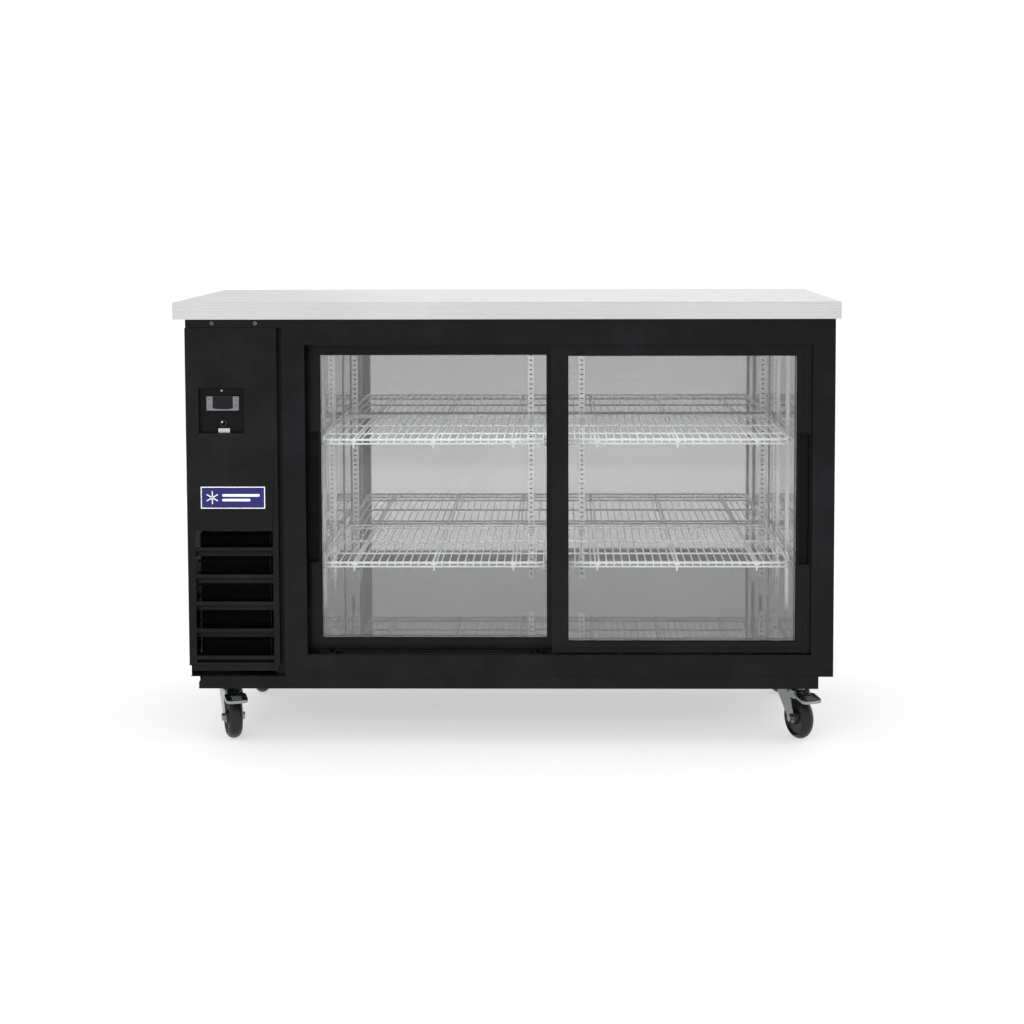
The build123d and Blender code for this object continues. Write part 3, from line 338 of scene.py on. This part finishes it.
# ---------------------------------------------------------------- mesh helpers
def add_object(name, bm, body, material, bevel=0.0):
    """Turn a bmesh in row coordinates into a piece that rides on a body."""
    bmesh.ops.recalc_face_normals(bm, faces=bm.faces)
    mesh = bpy.data.meshes.new(name)
    bm.to_mesh(mesh)
    bm.free()
    mesh.materials.append(MATERIALS[material])
    made = bpy.data.objects.new(name, mesh)
    bpy.context.scene.collection.objects.link(made)
    if bevel:
        soften(made, bevel)
    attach(made, body)
    return made


def soften(obj, width):
    """Small rounded edges that catch the light."""
    bevel = obj.modifiers.new("edges", "BEVEL")
    bevel.width, bevel.segments = width, 3
    bevel.limit_method, bevel.angle_limit = "ANGLE", radians(40)
    for polygon in obj.data.polygons:
        polygon.use_smooth = False


def add_box(bm, low, high):
    size, middle = Vector(high) - Vector(low), (Vector(high) + Vector(low)) / 2
    matrix = Matrix.Translation(middle) @ Matrix.Diagonal((*size, 1))
    return bmesh.ops.create_cube(bm, size=1.0, matrix=matrix)["verts"]


def add_loops(bm, loops, closed=True):
    """Skin a list of point loops. closed also joins the last loop to the first, or else caps both."""
    rings = [[bm.verts.new(point) for point in loop] for loop in loops]
    pairs = list(zip(rings, rings[1:])) + ([(rings[-1], rings[0])] if closed else [])
    for first, second in pairs:
        count = len(first)
        for i in range(count):
            j = (i + 1) % count
            bm.faces.new((first[i], first[j], second[j], second[i]))
    if not closed:
        bm.faces.new(rings[0])
        bm.faces.new(list(reversed(rings[-1])))


def add_ring(bm, rect, profile):
    """A mitred rectangular frame in the XZ plane. profile holds (inset, y) points of its section."""
    x0, x1, z0, z1 = rect
    corners = [(x0, z0, 1, 1), (x1, z0, -1, 1), (x1, z1, -1, -1), (x0, z1, 1, -1)]
    add_loops(bm, [[(x + sx * inset, y, z + sz * inset) for inset, y in profile]
                   for x, z, sx, sz in corners])


def add_lathe(bm, profile, matrix, steps=48):
    """A turned shape. profile holds (radius, height) points, turned about the matrix's Z axis."""
    loops = []
    for i in range(steps):
        a = 2 * pi * i / steps
        loops.append([matrix @ Vector((r * cos(a), r * sin(a), h)) for r, h in profile])
    add_loops(bm, loops)


def add_plate(bm, outline, y0, y1):
    """A flat plate from an outline of (x, z) points."""
    add_loops(bm, [[(x, y, z) for x, z in outline] for y in (y0, y1)], closed=False)


def rounded(x0, x1, z0, z1, radius, steps=6):
    """The outline of a rectangle with round corners."""
    points = []
    for cx, cz, start in ((x1 - radius, z1 - radius, 0), (x0 + radius, z1 - radius, 90),
                          (x0 + radius, z0 + radius, 180), (x1 - radius, z0 + radius, 270)):
        for i in range(steps + 1):
            a = radians(start + 90 * i / steps)
            points.append((cx + radius * cos(a), cz + radius * sin(a)))
    return points


# ---------------------------------------------------------------- carried CAD nodes
EDGES = {"door_frame": 1.0, "door_left_frame": 0.7, "door_right_frame": 0.7, "front_cover": 0.5,
         "door_left_pull": 0.5, "door_right_pull": 0.5, "control_pocket": 0.4, "base_plinth": 0.8,
         "controller_body": 0.3, "louvre_blades": 0.3, "top_strip": 0.3}


def dress_cad_nodes():
    """Give every carried node its slot's material, and soft edges where they catch the light."""
    slots = {row["node"]: row["material_slot"] for row in frame["record"]["subparts"]}
    for name, obj in nodes.items():
        obj.data.materials.clear()
        obj.data.materials.append(MATERIALS[slots[name]])
        if name in EDGES:
            weld = obj.modifiers.new("weld", "WELD")
            weld.merge_threshold = 1e-5
            soften(obj, EDGES[name] * MM)
    for side in SIDES:
        nodes[f"door_{side}_glass"].visible_shadow = False
    paint_fasteners(nodes["fasteners"])


def paint_fasteners(fasteners):
    """The cover's rivets are painted with it, and the top strip's screws are a darker steel."""
    strip_low, strip_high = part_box("top_strip")
    cover_low, cover_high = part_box("front_cover")
    fasteners.data.materials.append(MATERIALS["black_panel"])
    fasteners.data.materials.append(MATERIALS["screw_steel"])
    for polygon in fasteners.data.polygons:
        middle = polygon.center
        if middle.y < strip_low.y + 3 * MM and middle.x < strip_high.x:
            polygon.material_index = 1 if middle.z < cover_high.z - 5 * MM else 2


# ---------------------------------------------------------------- doors
def make_door_glazing(side):
    """Spacer bar between the panes, glazing beads round them and a brush seal down the meeting edge."""
    low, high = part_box(f"door_{side}_glass")
    body = f"door_{side}"
    rect = (low.x, high.x, low.z, high.z)
    pane = 4.3 * MM
    bm = bmesh.new()
    y0, y1 = low.y + pane, high.y - pane
    add_ring(bm, rect, [(0.5 * MM, y0), (5 * MM, y0), (5 * MM, y1), (0.5 * MM, y1)])
    add_object(f"door_{side}_spacer", bm, body, "standard_steel")
    bm = bmesh.new()
    for face_y, outward in ((low.y, -1), (high.y, 1)):
        lip = face_y + outward * 0.2 * MM
        crest = face_y + outward * 1.6 * MM
        add_ring(bm, rect, [(3.6 * MM, lip), (5.6 * MM, lip), (4.8 * MM, crest), (3.6 * MM, crest)])
    add_object(f"door_{side}_glazing_bead", bm, body, "rubber")
    make_brush_seal(side, body)


def make_brush_seal(side, body):
    """Rows of brush down the back of the meeting stile."""
    low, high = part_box(f"door_{side}_frame")
    edge, inward = (high.x, -1) if side == "left" else (low.x, 1)
    bm = bmesh.new()
    for i in range(3):
        x = edge + inward * (2 + 7 * i) * MM
        add_box(bm, (x - 1.5 * MM, high.y - 0.5 * MM, low.z + 30 * MM),
                (x + 1.5 * MM, high.y + 1.2 * MM, high.z - 30 * MM))
    add_object(f"door_{side}_brush_seal", bm, body, "rubber")


# ---------------------------------------------------------------- cabinet seams, and painted shade in the frame's joints and the standards' slots
def add_seam_shade(bm, start, end, y, width):
    """A dark hairline on a front face, from one (x, z) point to another: painted shade standing in for the gap of
    a joint.
    """
    run = Vector((end[0] - start[0], 0, end[1] - start[1]))
    across = Vector((-run.z, 0, run.x)).normalized() * width / 2
    first, last = Vector((start[0], y, start[1])), Vector((end[0], y, end[1]))
    loop = [first - across, first + across, last + across, last - across]
    add_loops(bm, [[p + Vector((0, dy, 0)) for p in loop] for dy in (-0.05 * MM, 0.3 * MM)], closed=False)


def make_mitre_seam_shade():
    """Dark lines across the four corners of the fixed door frame: painted shade in its mitre joints."""
    low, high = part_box("door_frame")
    lip = 50 * MM
    bm = bmesh.new()
    for x, inward in ((low.x, 1), (high.x, -1)):
        for z, upward in ((low.z, 1), (high.z, -1)):
            start = (x + inward * 2 * MM, z + upward * 2 * MM)
            add_seam_shade(bm, start, (x + inward * lip, z + upward * lip), low.y, 0.7 * MM)
    add_object("frame_mitre_seam_shade", bm, "cabinet", "painted_shade")


def make_liner_seams():
    """Sealant along the back wall's joints with the floor, the ceiling and the side walls."""
    low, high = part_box("liner_panels")
    wall_low, wall_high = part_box("shelf_standards")
    z0, z1, y = low.z + 0.6 * MM, high.z - 0.6 * MM, wall_high.y
    size = 2.4 * MM
    bm = bmesh.new()
    for z in (z0, z1 - size):
        add_box(bm, (wall_low.x, y - size, z), (wall_high.x, y, z + size))
    for x in (wall_low.x, wall_high.x - size):
        add_box(bm, (x, y - size, z0), (x + size, y, z1))
        add_box(bm, (x, low.y + 40 * MM, z0), (x + size, y, z0 + size))
    add_object("liner_seams", bm, "cabinet", "sealant", bevel=0.5 * MM)


def spans(values, gap=20 * MM):
    """Lowest and highest value of each cluster in a row of values."""
    values = sorted(values)
    cuts = [i for i in range(1, len(values)) if values[i] - values[i - 1] > gap]
    return [(values[i], values[j - 1]) for i, j in zip([0, *cuts], [*cuts, len(values)])]


def make_standard_slot_shade():
    """A dark strip inside each slotted standard, which shows as its slots: painted shade standing in for the dark
    cavity behind them.
    """
    low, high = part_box("shelf_standards")
    points = [vertex.co for vertex in nodes["shelf_standards"].data.vertices]
    back = [point for point in points if point.y > high.y - 0.5 * MM]
    z0, z1 = min(point.z for point in back) + MM, max(point.z for point in back) - MM
    inset, thick = 2.2 * MM, 1.2 * MM
    bm = bmesh.new()
    for x0, x1 in spans(point.x for point in back):
        add_box(bm, (x0 + inset, high.y - thick, z0), (x1 - inset, high.y - 0.2 * MM, z1))
    for wall, inward in ((low.x, 1), (high.x, -1)):
        x0, x1 = sorted((wall + inward * 0.2 * MM, wall + inward * thick))
        for y0, y1 in spans(point.y for point in points if abs(point.x - wall) < 0.5 * MM):
            add_box(bm, (x0, y0 + inset, z0), (x1, y1 - inset, z1))
    add_object("standard_slot_shade", bm, "cabinet", "painted_shade")


def make_panel_screws():
    """Three columns of pan-head screws on the back panel: at its edges and down its middle."""
    low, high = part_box("outer_panels")
    edge, first, pitch, count = 14 * MM, 30 * MM, 157.44 * MM, 6
    head = [(0.01 * MM, 0), (5 * MM, 0), (4.6 * MM, 1.3 * MM), (2.6 * MM, 2.1 * MM), (0.01 * MM, 2.3 * MM)]
    bm = bmesh.new()
    for x in (low.x + edge, (low.x + high.x) / 2, high.x - edge):
        for i in range(count):
            place = Matrix.Translation((x, high.y - 0.3 * MM, low.z + first + i * pitch))
            add_lathe(bm, head, place @ Matrix.Rotation(-pi / 2, 4, "X"), 20)
    add_object("panel_screws", bm, "cabinet", "screw_steel")


# ---------------------------------------------------------------- machine compartment front
def make_badge():
    """A plain enamel plate: white border and a blue field with a six-armed star and two bars."""
    low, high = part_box("badge_plate")
    rect = (low.x, high.x, low.z, high.z)
    bm = bmesh.new()
    y = low.y
    add_ring(bm, rect, [(0.0, y), (2.2 * MM, y), (2.0 * MM, y - 0.35 * MM), (0.3 * MM, y - 0.35 * MM)])
    middle_z = (low.z + high.z) / 2
    star_x = low.x + 27 * MM
    for i in range(3):
        turn = Matrix.Rotation(i * pi / 3, 4, "Y")
        place = Matrix.Translation((star_x, y - 0.2 * MM, middle_z)) @ turn
        size = Matrix.Diagonal((2.4 * MM, 0.4 * MM, 30 * MM, 1))
        bmesh.ops.create_cube(bm, size=1.0, matrix=place @ size)
    for x0, x1, dz in ((50, 138, 5.5), (50, 116, -5.5)):
        add_plate(bm, rounded(low.x + x0 * MM, low.x + x1 * MM, middle_z + (dz - 3) * MM,
                              middle_z + (dz + 3) * MM, 2.9 * MM), y - 0.35 * MM, y)
    add_object("badge_enamel", bm, "cabinet", "badge_white")


def make_controller():
    """Dark display window in a grey keypad overlay, which is shaped like a U and leaves room for the keys."""
    low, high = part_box("controller_body")
    y, column, edge = low.y, 14.6 * MM, 0.25 * MM
    left, right = low.x + column, high.x - column
    bm = bmesh.new()
    window = rounded(left, right, low.z + 5 * MM, high.z - 1.5 * MM, 1.5 * MM)
    add_plate(bm, window, y - 0.1 * MM, y + 0.1 * MM)
    add_object("controller_display", bm, "cabinet", "display")
    bm = bmesh.new()
    front, top, bottom = y - 0.35 * MM, high.z - 0.8 * MM, low.z + 0.8 * MM
    bar_top = low.z + 6.5 * MM
    outer_x0, outer_x1 = low.x + 0.8 * MM, high.x - 0.8 * MM
    for keys, x0, x1 in ((("set", "down"), outer_x0, left), (("defrost", "up"), right, outer_x1)):
        boxes = sorted((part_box(f"key_{key}") for key in keys), key=lambda pair: pair[0].z)
        key_x0, key_x1 = boxes[0][0].x - edge, boxes[0][1].x + edge
        add_box(bm, (x0, front, bar_top), (key_x0, y, top))
        add_box(bm, (key_x1, front, bar_top), (x1, y, top))
        heights = [bar_top, *(z for pair in boxes for z in (pair[0].z - edge, pair[1].z + edge)), top]
        for z0, z1 in zip(heights[::2], heights[1::2]):
            if z1 > z0:
                add_box(bm, (key_x0, front, z0), (key_x1, y, z1))
    middle, half, drop = (left + right) / 2, (right - left) / 2, 3.2 * MM
    angles = [i * pi / 12 for i in range(13)]
    curve = [(middle + half * cos(a), bar_top - drop * sin(a)) for a in angles]
    outline = [(outer_x0, bottom), (outer_x1, bottom), (outer_x1, bar_top)]
    add_plate(bm, [*outline, *curve, (outer_x0, bar_top)], front, y)
    add_object("keypad_overlay", bm, "cabinet", "key_grey")
    for key, turn in (("set", None), ("defrost", None), ("up", 0), ("down", pi)):
        make_key_mark(key, turn)


def make_key_mark(key, turn):
    """A raised arrow on the up and down keys, and a raised dot on the others."""
    low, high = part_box(f"key_{key}")
    middle = (low + high) / 2
    bm = bmesh.new()
    if turn is None:
        spin = Matrix.Translation((middle.x, low.y, middle.z)) @ Matrix.Rotation(pi / 2, 4, "X")
        add_lathe(bm, [(1.2 * MM, 0), (2.0 * MM, 0), (1.9 * MM, 0.25 * MM), (1.3 * MM, 0.25 * MM)], spin, 24)
    else:
        points = [(0, 2.0), (2.2, -1.6), (-2.2, -1.6)]
        outline = [(middle.x + (x * cos(turn)) * MM, middle.z + (z * cos(turn)) * MM) for x, z in points]
        add_plate(bm, outline, low.y - 0.25 * MM, low.y)
    add_object(f"key_{key}_mark", bm, f"key_{key}", "nylon")


def make_blank_label():
    """A small plain label on the back of the control pocket, under the switch."""
    low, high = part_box("control_pocket")
    pocket_y = high.y - 1.35 * MM
    switch_low, switch_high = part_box("switch_bush")
    x = (switch_low.x + switch_high.x) / 2 + 1 * MM
    z0 = low.z + 7.6 * MM
    bm = bmesh.new()
    label = rounded(x - 13.5 * MM, x + 13.5 * MM, z0, z0 + 9.8 * MM, 1.2 * MM)
    add_plate(bm, label, pocket_y - 0.1 * MM, pocket_y + 0.1 * MM)
    add_object("blank_label", bm, "cabinet", "label")


# ---------------------------------------------------------------- condenser
def make_fins(name, node, material):
    """A coil with separate fins, end plates and cross tubes, in place of the plain block."""
    low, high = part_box(node)
    bm = bmesh.new()
    top = high.z - 10 * MM
    x = low.x + 12 * MM
    while x < high.x - 12 * MM:
        add_box(bm, (x, low.y + 3 * MM, low.z + 4 * MM), (x + 0.4 * MM, high.y - 3 * MM, top - 4 * MM))
        x += 3.2 * MM
    for plate_x in (low.x + 10 * MM, high.x - 11.5 * MM):
        add_box(bm, (plate_x, low.y, low.z), (plate_x + 1.5 * MM, high.y, top))
    rows = int((top - low.z - 24 * MM) / (28 * MM))
    for i in range(rows):
        z = low.z + (20 + 28 * i) * MM
        for y in (low.y + 17 * MM, high.y - 17 * MM):
            spin = Matrix.Translation((low.x + 2 * MM, y, z)) @ Matrix.Rotation(pi / 2, 4, "Y")
            length = high.x - low.x - 4 * MM
            bmesh.ops.create_cone(bm, cap_ends=True, segments=16, radius1=4 * MM, radius2=4 * MM,
                                  depth=length, matrix=spin @ Matrix.Translation((0, 0, length / 2)))
    piece = add_object(name, bm, "cabinet", material)
    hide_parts(node)


# ---------------------------------------------------------------- casters
def joint_frame(name):
    """A matrix with its origin on the joint and its Z along the joint's axis."""
    joint = joints[name]
    axis = Vector(joint["axis"])
    turn = Vector((0, 0, 1)).rotation_difference(axis)
    return Matrix.Translation(joint["pos_m"]) @ turn.to_matrix().to_4x4()


def make_wheel_detail(corner):
    """Zinc bushing faces in the wheel's hub."""
    spin = joint_frame(f"wheel_spin_{corner}")
    body = f"caster_wheel_{corner}"
    inner, outer = 16.5 * MM, 18.1 * MM
    ring = [(6.3 * MM, inner), (12.5 * MM, inner), (12.0 * MM, outer), (7.0 * MM, outer)]
    bm = bmesh.new()
    for turn in (pi, 0):
        add_lathe(bm, ring, spin @ Matrix.Rotation(turn, 4, "X"))
    add_object(f"{body}_bushing", bm, body, "zinc")


def make_fork_detail(corner):
    """Rolled race of the swivel, seen between the plate and the crown."""
    swivel = joint_frame(f"caster_swivel_{corner}")
    body = f"caster_fork_{corner}"
    place = Matrix.Translation((swivel.translation.x, swivel.translation.y, 0))
    bm = bmesh.new()
    profile = [(24 * MM, 113 * MM), (26.5 * MM, 114 * MM), (28.5 * MM, 117 * MM), (28.5 * MM, 121 * MM),
               (26.5 * MM, 124 * MM), (24 * MM, 125 * MM)]
    add_lathe(bm, profile, place)
    race = add_object(f"{body}_race", bm, body, "zinc")
    for polygon in race.data.polygons:
        polygon.use_smooth = True


def make_pedal_detail(corner):
    """Grip ribs across the brake pedal."""
    low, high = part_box(f"brake_pedal_{corner}")
    hinge = joint_frame(f"brake_pedal_{corner}_press")
    axis = Vector(joints[f"brake_pedal_{corner}_press"]["axis"])
    trail = axis.cross(Vector((0, 0, 1)))
    swivel = Vector(joints[f"caster_swivel_{corner}"]["pos_m"])
    pivot = hinge.translation
    outward = Vector((pivot.x - swivel.x, pivot.y - swivel.y, 0)).normalized()
    if trail.dot(outward) < 0:
        trail.negate()
    slope = radians(11)
    along = (trail * cos(slope) - Vector((0, 0, 1)) * sin(slope)).normalized()
    up = (trail * sin(slope) + Vector((0, 0, 1)) * cos(slope)).normalized()
    side = along.cross(up)
    bm = bmesh.new()
    for i in range(4):
        middle = pivot + along * (33 + i * 6) * MM + up * 3.3 * MM
        basis = Matrix((side, along, up)).transposed().to_4x4()
        size = Matrix.Diagonal((24 * MM, 2.2 * MM, 1.0 * MM, 1))
        bmesh.ops.create_cube(bm, size=1.0, matrix=Matrix.Translation(middle) @ basis @ size)
    add_object(f"brake_pedal_{corner}_grip", bm, f"brake_pedal_{corner}", "zinc", bevel=0.3 * MM)


# ---------------------------------------------------------------- screws
def make_screw_recess_shade():
    """Dark crosses on the heads of the front screws: painted shade standing in for their cross recesses."""
    strip_low, strip_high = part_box("top_strip")
    z, screw_places = strip_high.z - 9 * MM, (63 * MM, 163.5 * MM)
    bm = bmesh.new()
    for x in (strip_low.x + along for along in screw_places):
        for turn in (0.5, 0.5 + pi / 2):
            place = Matrix.Translation((x, strip_low.y - 2.45 * MM, z)) @ Matrix.Rotation(turn, 4, "Y")
            size = Matrix.Diagonal((5.2 * MM, 0.4 * MM, 1.1 * MM, 1))
            bmesh.ops.create_cube(bm, size=1.0, matrix=place @ size)
    # The black plastic crosses are painted shade: the dark inside each cross recess.
    add_object("screw_recess_shade", bm, "cabinet", "black_plastic")


# ---------------------------------------------------------------- build
make_camera()
make_studio()
make_floor()
dress_cad_nodes()
for side in SIDES:
    make_door_glazing(side)
make_badge()
make_controller()
make_blank_label()
make_fins("condenser_fins", "condenser_coil", "coil_black")
make_fins("evaporator_fins", "evaporator_coil", "coil_fins")
for corner in CORNERS:
    make_wheel_detail(corner)
    make_fork_detail(corner)
    make_pedal_detail(corner)
make_screw_recess_shade()
make_mitre_seam_shade()
make_liner_seams()
make_standard_slot_shade()
make_panel_screws()
